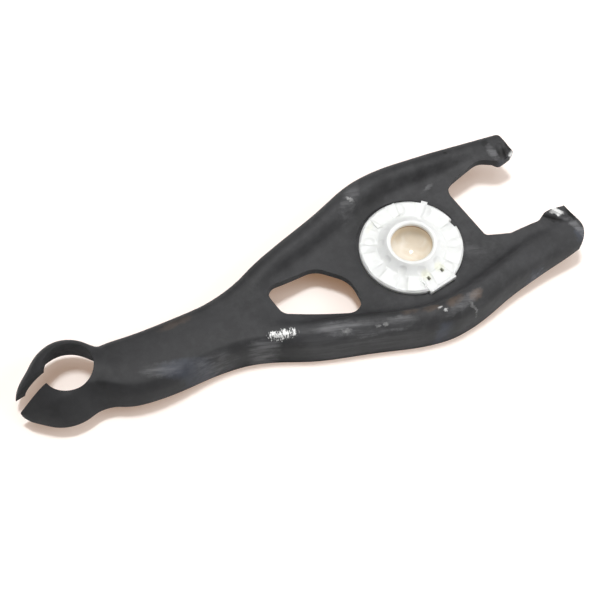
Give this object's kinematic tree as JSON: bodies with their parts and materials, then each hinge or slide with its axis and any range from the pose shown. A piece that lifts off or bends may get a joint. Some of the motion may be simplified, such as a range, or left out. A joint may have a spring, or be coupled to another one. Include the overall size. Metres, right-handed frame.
{
  "type": "clutch fork",
  "caption": "Pressed steel clutch release fork with a slotted cable eye, a snapped-in pivot ball socket and two fingers for the release bearing.",
  "frame": {"origin": "centre of the pivot ball that the socket takes, 15 mm above the plane that the flanges rest on", "axes": "+X from the socket to the finger ends, +Y to the side with the eye's slit hook, +Z out of the socket's mouth, towards the gearbox"},
  "size_m": [0.2267, 0.0856, 0.021],
  "materials": {
    "pressed_steel": "satin charcoal black with small scuffs, bare steel at the finger ends",
    "retainer_plastic": "white moulded plastic, slightly soft sheen",
    "seat_plastic": "glossy amber plastic"
  },
  "bodies": {
    "root": {"fork_lever": "pressed_steel", "socket_retainer": "retainer_plastic", "ball_seat": "seat_plastic"}
  },
  "joints": []
}
